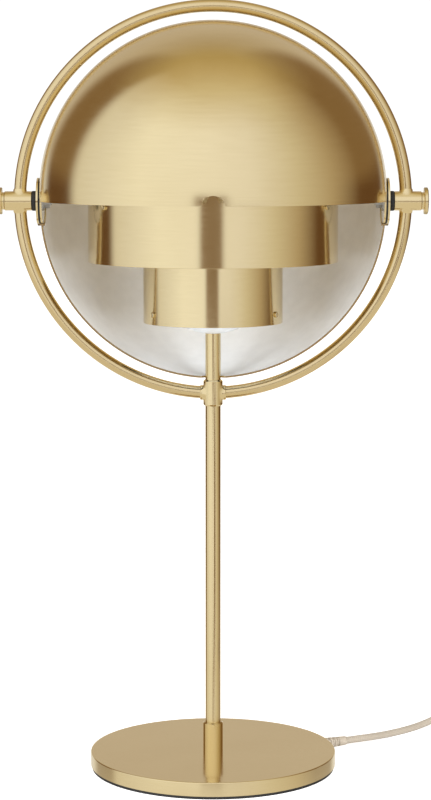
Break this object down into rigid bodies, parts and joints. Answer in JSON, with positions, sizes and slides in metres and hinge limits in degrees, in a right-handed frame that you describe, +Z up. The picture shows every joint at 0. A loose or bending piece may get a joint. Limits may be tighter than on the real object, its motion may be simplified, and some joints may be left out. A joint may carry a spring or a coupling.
{
  "type": "table lamp",
  "caption": "Brass table lamp with two quarter-sphere shades that turn on side pivots in an upright ring, round two open cylinders and a white dish, on a stem and a flat round base.",
  "frame": {"origin": "Middle of the base's underside, on the table. The free cord, its coil, switch and plug lie on the same table and are left out of this.", "axes": "+Z is up, along the stem. The lamp's front is -Y. +X runs through the right pivot, as seen from the front."},
  "size_m": [0.4639, 0.2493, 0.5],
  "materials": {
    "satin_brass": "satin brushed, lacquered",
    "turned_brass": "turned, fine satin",
    "black_rubber": "matt",
    "cast_iron": "rough, painted grey",
    "zinc_steel": "zinc plated",
    "opal_dish": "white opal",
    "holder_plastic": "moulded, white",
    "ceramic": "white glazed ceramic",
    "bulb_metal": "rolled screw cap",
    "opal_glass": "opal white",
    "wire_sleeve": "thin wire insulation",
    "cord_textile": "braided, beige",
    "cord_plastic": "moulded, beige",
    "steel_screws": "zinc plated",
    "nickel_pins": "nickel plated",
    "black_plastic": "moulded"
  },
  "bodies": {
    "stand": {"base_collar": "satin_brass", "base_disc": "satin_brass", "base_nipple": "zinc_steel", "base_nut": "zinc_steel", "base_pad": "black_rubber", "base_washer": "zinc_steel", "base_weight": "cast_iron", "bulb_cap": "bulb_metal", "bulb_glass": "opal_glass", "centre_contact": "turned_brass", "coil_tie": "cord_plastic", "cord_coil": "cord_textile", "cord_from_switch": "cord_textile", "cord_inner_end": "cord_textile", "cord_relief": "cord_plastic", "cord_to_plug": "cord_textile", "cord_to_switch": "cord_textile", "diffuser_dish": "opal_dish", "dish_spacer": "zinc_steel", "inner_nuts": "turned_brass", "inner_washers": "turned_brass", "inner_wires": "wire_sleeve", "lampholder_cap": "holder_plastic", "lampholder_insert": "ceramic", "lampholder_shell": "holder_plastic", "large_cylinder": "satin_brass", "large_cylinder_screws": "turned_brass", "left_friction_disc": "black_rubber", "left_friction_washer": "black_rubber", "left_hub": "satin_brass", "left_ring_arc": "satin_brass", "lock_nut": "zinc_steel", "lower_spider": "zinc_steel", "lower_stem": "satin_brass", "plug_body": "cord_plastic", "plug_pin_sleeves": "black_plastic", "plug_pins": "nickel_pins", "right_friction_disc": "black_rubber", "right_friction_washer": "black_rubber", "right_hub": "satin_brass", "right_ring_arc": "satin_brass", "shade_ring": "holder_plastic", "small_cylinder": "satin_brass", "small_cylinder_screws": "turned_brass", "studs": "turned_brass", "switch_base": "cord_plastic", "switch_contacts": "turned_brass", "switch_cover": "cord_plastic", "switch_screws": "steel_screws", "tee_joint": "satin_brass", "thread_sleeve": "zinc_steel", "upper_ring_arc": "satin_brass", "upper_spider": "zinc_steel", "upper_stem": "satin_brass"},
    "front_shade": {"front_shade": "satin_brass"},
    "back_shade": {"back_shade": "satin_brass"},
    "right_thumb_nut": {"right_thumb_nut": "turned_brass"},
    "left_thumb_nut": {"left_thumb_nut": "turned_brass"},
    "switch_rocker": {"switch_rocker": "cord_plastic"}
  },
  "joints": [
    {"name": "front_shade_tilt", "type": "hinge", "parent": "stand", "child": "front_shade", "pos_m": [0, 0, 0.372], "axis": [1, 0, 0], "range_deg": [0, 90]},
    {"name": "back_shade_tilt", "type": "hinge", "parent": "stand", "child": "back_shade", "pos_m": [0, 0, 0.372], "axis": [1, 0, 0], "range_deg": [0, 90]},
    {"name": "right_thumb_nut_turn", "type": "hinge", "parent": "stand", "child": "right_thumb_nut", "pos_m": [0.1368, 0, 0.372], "axis": [1, 0, 0], "range_deg": [0, 360]},
    {"name": "left_thumb_nut_turn", "type": "hinge", "parent": "stand", "child": "left_thumb_nut", "pos_m": [-0.1368, 0, 0.372], "axis": [-1, 0, 0], "range_deg": [0, 360]},
    {"name": "switch_rocker_tip", "type": "hinge", "parent": "stand", "child": "switch_rocker", "pos_m": [0.21726, 0.11804, 0.0139], "axis": [-0.2079, 0.9781, 0], "range_deg": [0, 14]}
  ]
}
